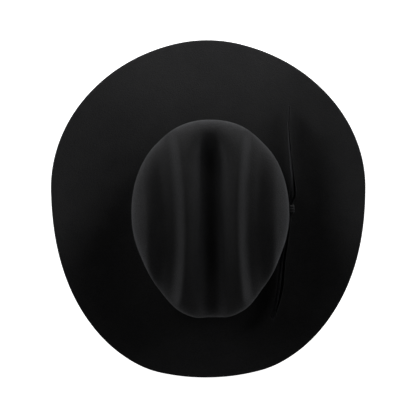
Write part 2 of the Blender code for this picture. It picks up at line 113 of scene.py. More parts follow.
# Each loop in plan: out along its inner leaf, round the fold and back along its outer leaf.
REAR_LOOP = [
    (0.0948, 0.0063), (0.0951, 0.0125), (0.0964, 0.024), (0.0970, 0.042), (0.0954, 0.062),
    (0.0938, 0.083), (0.0930, 0.100), (0.0937, 0.1208), (0.0944, 0.1222), (0.0951, 0.1208),
    (0.0944, 0.100), (0.0953, 0.083), (0.0970, 0.062), (0.0988, 0.043), (0.1007, 0.027),
    (0.1002, 0.0185), (0.0970, 0.0125), (0.0963, 0.0063),
]
FRONT_LOOP = [
    (0.0947, 0.0028), (0.0944, -0.0020), (0.0910, -0.020), (0.0870, -0.041), (0.0838, -0.059),
    (0.0820, -0.075), (0.0798, -0.094), (0.0764, -0.111), (0.0728, -0.1234), (0.0729, -0.1247),
    (0.0741, -0.1237), (0.0784, -0.112), (0.0822, -0.100), (0.0856, -0.084), (0.0867, -0.070),
    (0.0882, -0.053), (0.0904, -0.040), (0.0928, -0.021), (0.0957, -0.003), (0.0962, 0.0028),
]

# Sweatband, its reed and tape, and the satin lining, as depths in from the felt's outer face.
LINING_FACE = 0.0031
LINING_THICKNESS = 0.0005
LINING_SEAM = 3.39
LINING_SEAM_GAP = 0.02
LINING_FOOT = 2.35
PIPING_RADIUS = 0.0008
SWEATBAND_FACE = 0.0039
SWEATBAND_THICKNESS = 0.0012
SWEATBAND_FOOT = 0.0042
SWEATBAND_TOP = 0.057
SWEATBAND_HALF_GAP = 0.0003
REED_RADIUS = 0.0010
REED_DEPTH = 0.0050
REED_HEIGHT = 0.0012
TAPE_THICKNESS = 0.0004
TAPE_TOP = 0.0092
THREAD_RADIUS = 0.00025
STITCH_HEIGHT = 0.0068
STITCH_PITCH = 0.0034
SEAM_STITCHES = 9
SEAM_HALF_WIDTH = 0.0018
INNER_BOW_HEIGHT = 0.005
INNER_BOW_CENTRE = 0.020
INNER_BOW_THICKNESS = 0.0004
INNER_BOW_ROOT = 0.6
INNER_BOW_GATHER = 0.008
INNER_KNOT_HALF_DEPTH = 0.0011
INNER_KNOT_HALF_HEIGHT = 0.0024
INNER_KNOT_HALF_LENGTH = 0.0018
# Reach from the middle, in metres, and lift off the leather, in ribbon thicknesses.
INNER_BOW_SHAPE = [
    (0.0008, 1.6), (0.004, 1.0), (0.010, 1.0), (0.0148, 1.8), (0.0155, 3.2),
    (0.0148, 4.6), (0.010, 6.0), (0.004, 5.6), (0.0008, 4.4),
]

# Small unevenness of the felt from blocking and handling.
BRIM_UNEVENNESS = 0.00035
CROWN_UNEVENNESS = 0.00030

# Gathers of the satin lining: how many around the crown, and how deep in its side and its tip.
GATHERS = 96.0
SIDE_GATHER = 0.00045
TIP_GATHER = 0.00030

# Mesh fineness. Felt stations crowd towards the front and back, where the centre crease runs.
STATIONS = 480
CROWDING = 0.12
BAND_STATIONS = 2400
SWEATBAND_STATIONS = 900
REED_STATIONS = 360
TAPE_STATIONS = 600
LINING_STATIONS = 720

# Camera: where it stands, what it looks at, how far it is turned and its lens.
CAMERA_PLACE = (-0.022, 0.060, 0.832)
CAMERA_TARGET = (-0.0006, 0.0058, 0.0225)
CAMERA_TURN = 0.0127
CAMERA_LENS = 59.32

BACK = math.pi / 2


# ---------------------------------------------------------------- shape formulas


def smooth_rise(value, start, end):
    """0 before start and 1 after end, with no jump in slope or bend."""
    t = np.clip((value - start) / (end - start), 0.0, 1.0)
    return t * t * t * (t * (6.0 * t - 15.0) + 10.0)


def oval_radius(u, half_width, front, back, power_front, power_back):
    """Distance from an oval's centre to its outline in the direction u."""
    length = np.where(np.sin(u) > 0.0, back, front)
    power = np.where(np.sin(u) > 0.0, power_back, power_front)
    across = (np.abs(np.cos(u)) / half_width) ** power
    along = (np.abs(np.sin(u)) / length) ** power
    return (across + along) ** (-1.0 / power)


def base_outline(u):
    """The break line in plan."""
    r = oval_radius(u, BASE_HALF_WIDTH, BASE_HALF_LENGTH, BASE_HALF_LENGTH, BASE_POWER, BASE_POWER)
    return r * np.cos(u), BASE_CENTRE_Y + r * np.sin(u)


def base_normal(u):
    """The break line's outward direction in plan."""
    step = 1e-4
    ahead = base_outline(u + step)
    behind = base_outline(u - step)
    dx = ahead[0] - behind[0]
    dy = ahead[1] - behind[1]
    size = np.hypot(dx, dy)
    return dy / size, -dx / size


def top_outline(u):
    """The crown's widest line near its shoulder, pinched at both sides of the front."""
    r = oval_radius(
        u, TOP_HALF_WIDTH, TOP_FRONT_LENGTH, TOP_BACK_LENGTH, TOP_FRONT_POWER, TOP_BACK_POWER
    )
    y = TOP_CENTRE_Y + r * np.sin(u)
    r = r - PINCH_DEPTH * np.exp(-(((y - PINCH_Y) / PINCH_SPREAD) ** 2))
    return r * np.cos(u), TOP_CENTRE_Y + r * np.sin(u)


def brim_outline(u):
    """The cut edge: an oval whose front is trimmed by a wider arc, with soft corners."""
    oval = oval_radius(
        u, BRIM_HALF_WIDTH, BRIM_FRONT_LENGTH, BRIM_BACK_LENGTH, BRIM_FRONT_POWER, BRIM_BACK_POWER
    )
    to_centre = BRIM_WIDEST_Y - (BRIM_FRONT_Y + BRIM_FRONT_RADIUS)
    along = np.sin(u) * to_centre
    arc = -along + np.sqrt(along**2 - to_centre**2 + BRIM_FRONT_RADIUS**2)
    m = BRIM_CORNER_SHARPNESS
    scale = np.minimum(oval, arc)
    r = scale * ((oval / scale) ** -m + (arc / scale) ** -m) ** (-1.0 / m)
    return r * np.cos(u), BRIM_WIDEST_Y + r * np.sin(u)


def break_height(u):
    return BREAK_MEAN + BREAK_WAVE * np.cos(2.0 * u)


def crease_depth(x, y):
    """How far the creases press the dome down: one along the middle and a dent at each side."""
    middle = CREASE_WIDE[0] * np.exp(-((x / CREASE_WIDE[1]) ** 2))
    narrow = CREASE_NARROW[1] * (1.0 + CREASE_SPREAD * (y / 0.09) ** 2)
    middle = middle + CREASE_NARROW[0] * np.exp(-((np.abs(x) / narrow) ** CREASE_POWER))
    back = 1.0 - (1.0 - CREASE_BACK) * smooth_rise(y, CREASE_BACK_START, 0.105)
    front = 1.0 - (1.0 - CREASE_FRONT) * smooth_rise(-y, CREASE_FRONT_START, 0.110)
    ridge = RIDGE_X + RIDGE_SPREAD * ((y - RIDGE_WAIST_Y) / 0.07) ** 2
    floor = ridge + DENT_INNER
    lip = floor + DENT_FLOOR
    across = np.abs(x)
    dent = DENT_DEPTH * smooth_rise(across, ridge, floor)
    dent = dent * (1.0 - smooth_rise(across, lip, lip + DENT_OUTER))
    dent = dent * smooth_rise(-y, -DENT_BACK, -DENT_BACK + DENT_FADE)
    dent = dent * smooth_rise(y, -DENT_FRONT, -DENT_FRONT + DENT_FADE)
    return middle * back * front + dent


def felt_point(u, v):
    """A point on the felt's outer face, above the break.

    v runs 0 to 1 in from the brim's edge, 1 to 2 up the fillet, 2 to 3 up the wall and 3 to 4
    over the dome to the top.
    """
    u, v = np.broadcast_arrays(np.asarray(u, float), np.asarray(v, float))
    base_x, base_y = base_outline(u)
    out_x, out_y = base_normal(u)
    top_x, top_y = top_outline(u)
    edge_x, edge_y = brim_outline(u)
    low = break_height(u)
    shoulder = SHOULDER_SIDE + (SHOULDER_END - SHOULDER_SIDE) * np.sin(u) ** 2

    t = np.clip(1.0 - v, 0.0, 1.0)
    rolled = np.clip(np.abs(edge_x) - BRIM_LEVEL_HALF_WIDTH, 0.0, None)
    rolled = rolled / (BRIM_HALF_WIDTH - BRIM_LEVEL_HALF_WIDTH)
    edge_height = -BRIM_DIP + (BRIM_RISE + BRIM_DIP) * rolled**BRIM_ROLL_POWER
    power = BRIM_SECTION_POWER_END
    power = power + (BRIM_SECTION_POWER_SIDE - power) * np.cos(u) ** 2
    root_x = base_x + FILLET * out_x
    root_y = base_y + FILLET * out_y
    brim = (
        root_x + (edge_x - root_x) * t,
        root_y + (edge_y - root_y) * t,
        low + (edge_height - low) * t**power,
    )

    turn = np.clip(v - 1.0, 0.0, 1.0) * math.pi / 2
    fillet = (
        base_x + out_x * FILLET * (1.0 - np.sin(turn)),
        base_y + out_y * FILLET * (1.0 - np.sin(turn)),
        low + FILLET * (1.0 - np.cos(turn)),
    )

    q = np.clip(v - 2.0, 0.0, 1.0)
    lean = q * q * (3.0 - 2.0 * q)
    rim = shoulder - CROWN_PITCH * top_y - crease_depth(top_x, top_y)
    wall = (
        base_x + (top_x - base_x) * lean,
        base_y + (top_y - base_y) * lean,
        low + FILLET + (rim - low - FILLET) * q,
    )

    over = np.clip(v - 3.0, 0.0, 1.0) * math.pi / 2
    x = top_x * np.cos(over)
    y = TOP_CENTRE_Y + (top_y - TOP_CENTRE_Y) * np.cos(over)
    z = shoulder + (APEX - shoulder) * np.sin(over)
    dome = (x, y, z - CROWN_PITCH * y - crease_depth(x, y))

    zones = [v <= 1.0, v <= 2.0, v <= 3.0]
    return np.stack(
        [np.select(zones, [brim[i], fillet[i], wall[i]], dome[i]) for i in range(3)], axis=-1
    )


def felt_normal(u, v):
    """The felt's outward direction, from points a small step to each side."""
    step = 1e-4
    v = np.clip(v, step, 4.0 - 0.01)
    along = felt_point(u + step, v) - felt_point(u - step, v)
    up = felt_point(u, v + step) - felt_point(u, v - step)
    normal = np.cross(along, up)
    return normal / np.linalg.norm(normal, axis=-1, keepdims=True)


def layer_point(u, v, depth):
    """A point at a depth in from the felt's outer face."""
    return felt_point(u, v) - np.asarray(depth)[..., None] * felt_normal(u, v)


def wall_point(u, height, depth):
    """Points at a height above the break and a depth in from the wall's outer face."""
    u = np.asarray(u, float)
    depth = np.broadcast_to(depth, u.shape)
    if height < FILLET:
        x, y = base_outline(u)
        out_x, out_y = base_normal(u)
        return np.stack([x - out_x * depth, y - out_y * depth, break_height(u) + height], axis=-1)
    top = felt_point(u, 3.0)[..., 2]
    low = break_height(u) + FILLET
    v = 2.0 + (height - FILLET) / (top - low)
    return layer_point(u, v, depth)


def ripple(u, v, seed):
    """A gentle unevenness between -1 and 1, the same after each turn of u."""
    wave = 0.0
    for k, turns in enumerate((2, 3, 5, 7, 11)):
        phase = seed * 1.7 + k * 2.3
        wave = wave + np.sin(turns * u + phase + (1.3 + 0.8 * k) * v) / (1.0 + 0.6 * k)
    return wave / 3.0


def even_angles(count):
    """Angles that divide the break line into equal lengths, from the wearer's left, and its length."""
    fine = np.linspace(0.0, math.tau, 4001)
    x, y = base_outline(fine)
    travel = np.concatenate([[0.0], np.cumsum(np.hypot(np.diff(x), np.diff(y)))])
    return np.interp(np.arange(count) * travel[-1] / count, travel, fine), travel[-1]


def stations():
    """The angles of the felt's stations."""
    s = np.arange(STATIONS) * math.tau / STATIONS
    return s + CROWDING * np.sin(2.0 * s)


# ---------------------------------------------------------------- mesh building


def lofted(name, rings, closed=False, spots=None):
    """A closed mesh through rings of points, joined as a torus or else with its ends fanned shut.

    spots are the surface coordinates in metres of every point, kept as the mesh's UV map.
    """
    rings = np.asarray(rings, float)
    count, size = rings.shape[:2]
    points = rings.reshape(-1, 3)
    ring = np.arange(count if closed else count - 1)[:, None]
    side = np.arange(size)[None, :]
    a = ring * size + side
    b = ring * size + (side + 1) % size
    c = (ring + 1) % count * size + (side + 1) % size
    d = (ring + 1) % count * size + side
    quads = np.stack([a, b, c, d], axis=-1).reshape(-1, 4)
    fans = np.empty((0, 3), int)
    if not closed:
        points = np.concatenate([points, [rings[0].mean(axis=0)], [rings[-1].mean(axis=0)]])
        i = np.arange(size)
        j = (i + 1) % size
        end = (count - 1) * size
        fans = np.concatenate([np.stack([np.full(size, count * size), j, i], axis=1),
                               np.stack([np.full(size, count * size + 1), end + i, end + j], axis=1)])
    if enclosed(points, quads, fans) < 0.0:
        quads = quads[:, ::-1]
        fans = fans[:, ::-1]
    faces = quads.tolist() + fans.tolist()
    mesh = bpy.data.meshes.new(name)
    mesh.from_pydata([tuple(p) for p in points], [], faces)
    if spots is not None:
        flat = np.asarray(spots, float).reshape(-1, 2)
        if not closed:
            flat = np.concatenate([flat, [flat[:size].mean(axis=0)], [flat[-size:].mean(axis=0)]])
        layer = mesh.uv_layers.new(name="cloth")
        order = np.empty(len(mesh.loops), np.int32)
        mesh.loops.foreach_get("vertex_index", order)
        layer.data.foreach_set("uv", flat[order].ravel())
    return place(name, mesh)


def enclosed(points, quads, fans):
    """Six times the volume inside the faces, positive when they face out."""
    corners = np.concatenate([quads[:, :3], quads[:, [0, 2, 3]], fans])
    a, b, c = points[corners[:, 0]], points[corners[:, 1]], points[corners[:, 2]]
    return float((a * np.cross(b, c)).sum())


def place(name, mesh):
    """Adds a mesh as an object, lifted from the break's height into the hat's frame."""
    mesh.shade_smooth()
    mesh.set_sharp_from_angle(angle=math.radians(55))
    mesh.transform(Matrix.Translation((0.0, 0.0, LIFT)))
    made = bpy.data.objects.new(name, mesh)
    bpy.context.scene.collection.objects.link(made)
    return made


def settle(piece, material, slot, *nodes):
    """Gives a piece its finish, its body and the CAD nodes that it stands for."""
    piece.data.materials.append(material)
    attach(piece, "root")
    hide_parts(*nodes)


def smooth_path(points, spacing):
    """A smooth curve through a few points, read at even spacing."""
    points = np.array(points, float)
    before = np.vstack([2 * points[0] - points[1], points, 2 * points[-1] - points[-2]])
    path = []
    for i in range(1, len(points)):
        a, b, c, d = before[i - 1], before[i], before[i + 1], before[i + 2]
        for t in np.linspace(0.0, 1.0, 24, endpoint=False):
            bend = 2 * b + (c - a) * t + (2 * a - 5 * b + 4 * c - d) * t**2
            path.append(0.5 * (bend + (3 * b - a - 3 * c + d) * t**3))
    path = np.array(path + [points[-1]])
    travel = lengths_along(path)
    even = np.linspace(0.0, travel[-1], int(travel[-1] / spacing) + 2)
    return np.stack([np.interp(even, travel, path[:, k]) for k in range(path.shape[1])], axis=1)


def lengths_along(path):
    """The length of a path up to each of its points."""
    return np.concatenate([[0.0], np.cumsum(np.linalg.norm(np.diff(path, axis=0), axis=1))])


def tube(points, radius, sides, closed):
    """Rings around a line of points."""
    points = np.asarray(points, float)
    if closed:
        ahead = np.roll(points, -1, axis=0) - np.roll(points, 1, axis=0)
    else:
        ahead = np.gradient(points, axis=0)
    ahead /= np.linalg.norm(ahead, axis=1, keepdims=True)
    up = np.tile([0.0, 0.0, 1.0], (len(points), 1))
    side = np.cross(ahead, up + 1e-6)
    side /= np.linalg.norm(side, axis=1, keepdims=True)
    over = np.cross(side, ahead)
    turn = np.arange(sides) * math.tau / sides
    radius = np.broadcast_to(radius, len(points))[:, None, None]
    ring = side[:, None] * np.cos(turn)[None, :, None] + over[:, None] * np.sin(turn)[None, :, None]
    return points[:, None] + ring * radius


def join(name, pieces):
    """Makes one object of several."""
    with bpy.context.temp_override(active_object=pieces[0], selected_editable_objects=pieces):
        bpy.ops.object.join()
    pieces[0].name = name
    return pieces[0]


# ---------------------------------------------------------------- materials


class Nodes:
    """A material's node tree with short ways to add what the finishes here share."""

    def __init__(self, name, color, roughness, sheen=0.0, sheen_roughness=0.5, specular=0.5):
        self.material = bpy.data.materials.new(name)
        self.material.use_nodes = True
        self.tree = self.material.node_tree
        self.shader = self.tree.nodes["Principled BSDF"]
        self.shader.inputs["Base Color"].default_value = (*color, 1.0)
        self.shader.inputs["Roughness"].default_value = roughness
        self.shader.inputs["Sheen Weight"].default_value = sheen
        self.shader.inputs["Sheen Roughness"].default_value = sheen_roughness
        self.shader.inputs["Specular IOR Level"].default_value = specular

    def add(self, kind, **settings):
        node = self.tree.nodes.new(kind)
        for key, value in settings.items():
            setattr(node, key, value)
        return node

    def link(self, source, target):
        self.tree.links.new(source, target)

    def place(self, scale, uv=False):
        """Coordinates stretched by scale, from the object or from its cloth map."""
        where = self.add("ShaderNodeTexCoord")
        mapping = self.add("ShaderNodeMapping")
        mapping.inputs["Scale"].default_value = scale
        self.link(where.outputs["UV" if uv else "Object"], mapping.inputs["Vector"])
        return mapping.outputs["Vector"]

    def noise(self, place, scale, detail=3.0, roughness=0.55):
        node = self.add("ShaderNodeTexNoise")
        node.inputs["Scale"].default_value = scale
        node.inputs["Detail"].default_value = detail
        node.inputs["Roughness"].default_value = roughness
        self.link(place, node.inputs["Vector"])
        return node.outputs["Fac"]

    def spread(self, value, low, high, start=0.0, end=1.0):
        """value between low and high, made to run from start to end."""
        node = self.add("ShaderNodeMapRange")
        for name, number in zip(("From Min", "From Max", "To Min", "To Max"), (low, high, start, end)):
            node.inputs[name].default_value = number
        self.link(value, node.inputs["Value"])
        return node.outputs["Result"]

    def math(self, operation, first, second):
        node = self.add("ShaderNodeMath", operation=operation)
        for socket, value in zip(node.inputs, (first, second)):
            if isinstance(value, (int, float)):
                socket.default_value = value
            else:
                self.link(value, socket)
        return node.outputs["Value"]

    def color(self, factor, dark, light):
        node = self.add("ShaderNodeMix", data_type="RGBA")
        self.link(factor, node.inputs["Factor"])
        for socket in node.inputs:
            if socket.type == "RGBA" and socket.name == "A":
                socket.default_value = (*dark, 1.0)
            if socket.type == "RGBA" and socket.name == "B":
                socket.default_value = (*light, 1.0)
        result = next(out for out in node.outputs if out.type == "RGBA")
        self.link(result, self.shader.inputs["Base Color"])

    def bump(self, height, distance, strength):
        node = self.add("ShaderNodeBump")
        node.inputs["Distance"].default_value = distance
        node.inputs["Strength"].default_value = strength
        self.link(height, node.inputs["Height"])
        self.link(node.outputs["Normal"], self.shader.inputs["Normal"])


def felt_finish():
    """Dense brushed felt: a soft uneven nap, cloudy tone and a faint glow at grazing angles."""
    felt = Nodes("felt_black", (0.006, 0.006, 0.006), 0.96, 0.040, 0.63, 0.17)
    felt.shader.inputs["Sheen Tint"].default_value = (0.86, 0.90, 1.0, 1.0)
    nap = felt.noise(felt.place((1.0, 1.0, 1.0)), 620.0, 4.0, 0.65)
    streak = felt.noise(felt.place((1.0, 0.28, 1.0)), 1500.0, 2.0)
    cloud = felt.noise(felt.place((1.0, 1.0, 1.0)), 42.0, 3.0, 0.6)
    mix = felt.math("ADD", felt.math("MULTIPLY", nap, 0.6), felt.math("MULTIPLY", cloud, 0.4))
    felt.color(felt.spread(mix, 0.36, 0.64), (0.0042, 0.0042, 0.0043), (0.0085, 0.0084, 0.0084))
    grain = felt.noise(felt.place((1.0, 1.0, 1.0)), 900.0, 2.0, 0.7)
    felt.link(felt.spread(grain, 0.34, 0.66, 0.015, 0.065), felt.shader.inputs["Sheen Weight"])
    felt.bump(felt.math("ADD", nap, felt.math("MULTIPLY", streak, 0.5)), 0.0005, 0.7)
    return felt.material


def grosgrain_finish():
    """Ribbed ribbon: the ribs are in the mesh, and the threads between them are here."""
    cloth = Nodes("grosgrain_black", (0.005, 0.005, 0.005), 0.78, 0.035, 0.6, 0.18)
    cloth.shader.inputs["Sheen Tint"].default_value = (0.85, 0.88, 1.0, 1.0)
    warp = cloth.add("ShaderNodeTexWave", bands_direction="Y")
    warp.inputs["Scale"].default_value = 320.0
    cloth.link(cloth.place((1.0, 1.0, 1.0), uv=True), warp.inputs["Vector"])
    tone = cloth.noise(cloth.place((1.0, 1.0, 1.0)), 300.0, 3.0)
    cloth.color(cloth.spread(tone, 0.35, 0.65), (0.0034, 0.0034, 0.0036), (0.0070, 0.0070, 0.0073))
    cloth.link(cloth.spread(tone, 0.3, 0.7, 0.66, 0.82), cloth.shader.inputs["Roughness"])
    cloth.bump(cloth.math("ADD", warp.outputs["Fac"], tone), 0.00008, 0.5)
    return cloth.material


def thread_finish(name, dark, light, roughness):
    """Twisted thread or woven tape."""
    thread = Nodes(name, light, roughness, 0.1, 0.5, 0.35)
    tone = thread.noise(thread.place((1.0, 1.0, 1.0)), 1400.0, 2.0)
    thread.color(thread.spread(tone, 0.35, 0.65), dark, light)
    thread.bump(tone, 0.0001, 0.5)
    return thread.material


def leather_finish():
    """Smooth dressed sheepskin with a fine pebbled grain, worn a little shinier in patches."""
    hide = Nodes("leather_black", (0.012, 0.010, 0.009), 0.45, 0.0, 0.5, 0.45)
    grain = hide.add("ShaderNodeTexVoronoi", feature="SMOOTH_F1")
    grain.inputs["Scale"].default_value = 1100.0
    hide.link(hide.place((1.0, 1.0, 1.0)), grain.inputs["Vector"])
    wear = hide.noise(hide.place((1.0, 1.0, 1.0)), 55.0, 4.0)
    hide.color(hide.spread(wear, 0.35, 0.65), (0.0095, 0.0082, 0.0074), (0.019, 0.0165, 0.015))
    hide.link(hide.spread(wear, 0.35, 0.65, 0.38, 0.54), hide.shader.inputs["Roughness"])
    hide.bump(grain.outputs["Distance"], 0.00018, 0.6)
    return hide.material


def plastic_finish():
    """The reed's milky plastic, slightly streaked along its length."""
    plastic = Nodes("plastic_reed", (0.55, 0.55, 0.52), 0.4)
    tone = plastic.noise(plastic.place((1.0, 1.0, 6.0)), 160.0)
    plastic.color(plastic.spread(tone, 0.3, 0.7), (0.48, 0.48, 0.45), (0.62, 0.62, 0.59))
    plastic.bump(tone, 0.00005, 0.3)
    return plastic.material


def tape_finish():
    """Plain-woven tape."""
    tape = Nodes("tape_black", (0.012, 0.012, 0.012), 0.75, 0.1, 0.5, 0.3)
    weave = tape.add("ShaderNodeTexWave", bands_direction="X")
    weave.inputs["Scale"].default_value = 260.0
    cross = tape.add("ShaderNodeTexWave", bands_direction="Y")
    cross.inputs["Scale"].default_value = 260.0
    where = tape.place((1.0, 1.0, 1.0), uv=True)
    tape.link(where, weave.inputs["Vector"])
    tape.link(where, cross.inputs["Vector"])
    both = tape.math("MULTIPLY", weave.outputs["Fac"], cross.outputs["Fac"])
    tape.color(both, (0.006, 0.006, 0.0065), (0.016, 0.016, 0.017))
    tape.bump(both, 0.0001, 0.6)
    return tape.material


def satin_finish():
    """Lining satin: smooth and glossy along the weave, with fine threads across it."""
    satin = Nodes("satin_black", (0.012, 0.012, 0.013), 0.3, 0.0, 0.5, 0.6)
    satin.shader.inputs["Anisotropic"].default_value = 0.3
    tone = satin.noise(satin.place((1.0, 12.0, 1.0)), 180.0, 2.0)
    satin.color(satin.spread(tone, 0.3, 0.7), (0.009, 0.009, 0.010), (0.017, 0.017, 0.019))
    satin.link(satin.spread(tone, 0.3, 0.7, 0.25, 0.38), satin.shader.inputs["Roughness"])
    satin.bump(tone, 0.00003, 0.2)
    return satin.material


def floor_finish():
    """Matt white paper, lit a little from below as on a light table."""
    paper = Nodes("floor_paper", (0.82, 0.82, 0.82), 0.9)
    tone = paper.noise(paper.place((1.0, 1.0, 1.0)), 3.0)
    paper.color(tone, (0.81, 0.81, 0.81), (0.83, 0.83, 0.83))
    paper.shader.inputs["Emission Color"].default_value = (1.0, 1.0, 1.0, 1.0)
    paper.shader.inputs["Emission Strength"].default_value = FLOOR_GLOW
    return paper.material


# ---------------------------------------------------------------- pieces


def felt_rings():
    """Rings of felt points from the top outside, over the cut edge, to the top inside."""
    u = stations()
    dome = 3.0 + np.linspace(0.985, 0.0, 70)
    wall = np.linspace(2.97, 2.0, 30)
    fillet = np.linspace(1.9, 1.1, 8)
    brim = np.linspace(1.0, 0.004, 44)
    outside = np.concatenate([dome, wall, fillet, brim])
    inside = np.concatenate([dome[::2], wall[::2], fillet, brim[::2], [0.004]])
    rings = []
    for v in outside:
        rings.append(layer_point(u, v, -hand_work(u, v)))
    for depth in (0.10, 0.30, 0.5, 0.70, 0.90):
        rings.append(layer_point(u, 0.0, FELT_THICKNESS * depth - hand_work(u, 0.0)))
    for v in inside[::-1]:
        rings.append(layer_point(u, v, FELT_THICKNESS - hand_work(u, v)))
    return np.array(rings)


def hand_work(u, v):
    """Small unevenness that blocking and handling leave in the felt, in metres outwards."""
    brim = BRIM_UNEVENNESS * ripple(u, 1.5 * v, 1) * smooth_rise(1.0 - v, 0.1, 0.6)
    crown = CROWN_UNEVENNESS * ripple(u, 2.0 * v, 2)
    crown = crown * smooth_rise(v, 2.3, 2.8) * smooth_rise(-v, -3.9, -3.3)
    return brim + crown


def make_felt(finish):
    """Crown and brim as one shell of felt, with a cut edge."""
    settle(lofted("felt_shell", felt_rings()), finish, "felt", "felt_body")


def ribbon_profile(height):
    """Places across a ribbon, closer at its two selvedges, from -1 to 1."""
    edge = min(0.0009 / height, 0.2)
    inner = np.linspace(-1.0 + 2.2 * edge, 1.0 - 2.2 * edge, 7)
    return np.concatenate([[-1.0, -1.0 + 0.5 * edge, -1.0 + edge], inner,
                           [1.0 - edge, 1.0 - 0.5 * edge, 1.0]])


def ribbon_half_thickness(across, along, thickness):
    """Half a ribbon's thickness with its cross ribs, and a corded selvedge at each side."""
    rib = RIB_RELIEF * (np.cos(along * math.tau / RIB_PITCH)[:, None] - 1.0)
    body = thickness / 2 + rib * smooth_rise(1.0 - np.abs(across), 0.02, 0.12)[None, :]
    rounding = np.sqrt(np.clip(1.0 - ((np.abs(across) - 0.94) / 0.062).clip(0.0, 1.0) ** 2, 0.04, 1.0))
    return body * rounding[None, :]


def make_band(finish):
    """The ribbon around the crown's foot."""
    u, length = even_angles(BAND_STATIONS)
    along = np.arange(BAND_STATIONS) * length / BAND_STATIONS
    across = ribbon_profile(BAND_HEIGHT)
    half = ribbon_half_thickness(across, along, BAND_THICKNESS)
    middle = CLEARANCE + BAND_THICKNESS / 2
    rows = []
    spots = []
    for side in (1, -1):
        for k in range(len(across))[::side]:
            height = BAND_FOOT + BAND_HEIGHT * (across[k] + 1.0) / 2
            ease = 0.00012 * (1.0 + ripple(u, 0.0, 5)) * (across[k] + 1.0)
            rows.append(wall_point(u, height, -(middle + ease + side * half[:, k])))
            spots.append(np.stack([along, np.full(BAND_STATIONS, height)], axis=-1))
    rings = np.stack(rows, axis=1)
    band = lofted("hat_band_ribbon", rings, True, np.stack(spots, axis=1))
    settle(band, finish, "grosgrain", "hat_band")


def ribbon_leaf(name, points, height, root, gather, centre_z, thickness, lean, seed):
    """A ribbon standing on edge along a plan path, gathered narrower where the knot holds it."""
    path = smooth_path(points, RIB_PITCH / 4)
    along = lengths_along(path)
    from_end = np.minimum(along, along[-1] - along)
    half = 0.5 * (root + (height - root) * smooth_rise(from_end, 0.0, gather))
    ahead = np.gradient(path, axis=0)
    ahead /= np.linalg.norm(ahead, axis=1, keepdims=True)
    side = np.stack([-ahead[:, 1], ahead[:, 0]], axis=1)
    across = ribbon_profile(height)
    thick = ribbon_half_thickness(across, along, thickness)
    held = smooth_rise(from_end, 0.0, 0.5 * along[-1])
    pleat = 0.30 * thickness * (1.0 - smooth_rise(from_end, 0.0, gather))
    rows = []
    spots = []
    for face in (1, -1):
        for k in range(len(across))[::face]:
            bend = face * thick[:, k] + pleat * math.cos(across[k] * 2.5 * math.pi)
            tilt = lean * across[k] * held
            x = path[:, 0] + side[:, 0] * bend + tilt
            y = path[:, 1] + side[:, 1] * bend
            sway = 0.0004 * np.sin(along * 55.0 + seed) * held
            rows.append(np.stack([x, y, centre_z + sway + half * across[k]], axis=-1))
            spots.append(np.stack([along, half * across[k]], axis=-1))
    rings = np.stack(rows, axis=1)
    return lofted(name, rings, False, np.stack(spots, axis=1)), along[-1]


def knot_wrap(name, centre, half_depth, half_height, wrap, half_length, inward, pleats):
    """A ribbon wrapped round the gathered ribbon, with soft pleats along the wrap."""
    inward = np.array([*inward, 0.0])
    along = np.array([-inward[1], inward[0], 0.0])
    turns = np.arange(96) * math.tau / 96
    widths = np.linspace(-1.0, 1.0, 25)
    rings = []
    spots = []
    for turn in turns:
        out = inward * half_depth * abs(math.cos(turn)) ** 0.6 * np.sign(math.cos(turn))
        out[2] = half_height * abs(math.sin(turn)) ** 0.6 * np.sign(math.sin(turn))
        away = out / np.linalg.norm(out)
        around = turn * (half_depth + half_height)
        ring = []
        spot = []
        for face in (1, -1):
            for w in widths[::face]:
                dome = wrap * 1.15 * math.sqrt(1.0 - 0.92 * w * w)
                fold = 0.22 * wrap * math.cos(w * pleats * math.pi + 0.25 * math.sin(2.0 * turn))
                lift = dome + fold if face > 0 else -0.35 * wrap
                squeeze = 1.0 - 0.10 * math.cos(2.0 * turn) ** 2
                ring.append(np.array(centre) + out + along * half_length * squeeze * w + away * lift)
                spot.append((around, w * half_length))
        rings.append(ring)
        spots.append(spot)
    return lofted(name, rings, True, spots)


def make_bow(ribbon, thread):
    """Two long folded loops standing on edge, held by a knot on the wearer's left."""
    for name, node, points, lean, seed in (
        ("bow_rear_ribbon", "bow_rear_loop", REAR_LOOP, -0.0010, 0.0),
        ("bow_front_ribbon", "bow_front_loop", FRONT_LOOP, 0.0003, 2.0),
    ):
        leaf, length = ribbon_leaf(
            name, points, BOW_HEIGHT, BOW_ROOT_HEIGHT, BOW_GATHER_LENGTH, BOW_CENTRE_HEIGHT,
            RIBBON_THICKNESS, lean, seed,
        )
        settle(leaf, ribbon, "grosgrain", node)
    centre = (*KNOT_CENTRE, BOW_CENTRE_HEIGHT)
    knot = knot_wrap("bow_knot_ribbon", centre, KNOT_HALF_DEPTH, KNOT_HALF_HEIGHT, KNOT_WRAP,
                     KNOT_HALF_LENGTH, (1.0, 0.0), 3.0)
    settle(knot, ribbon, "grosgrain", "bow_knot")
    settle(bow_stitches(centre), thread, "thread", "bow_tack_stitch")


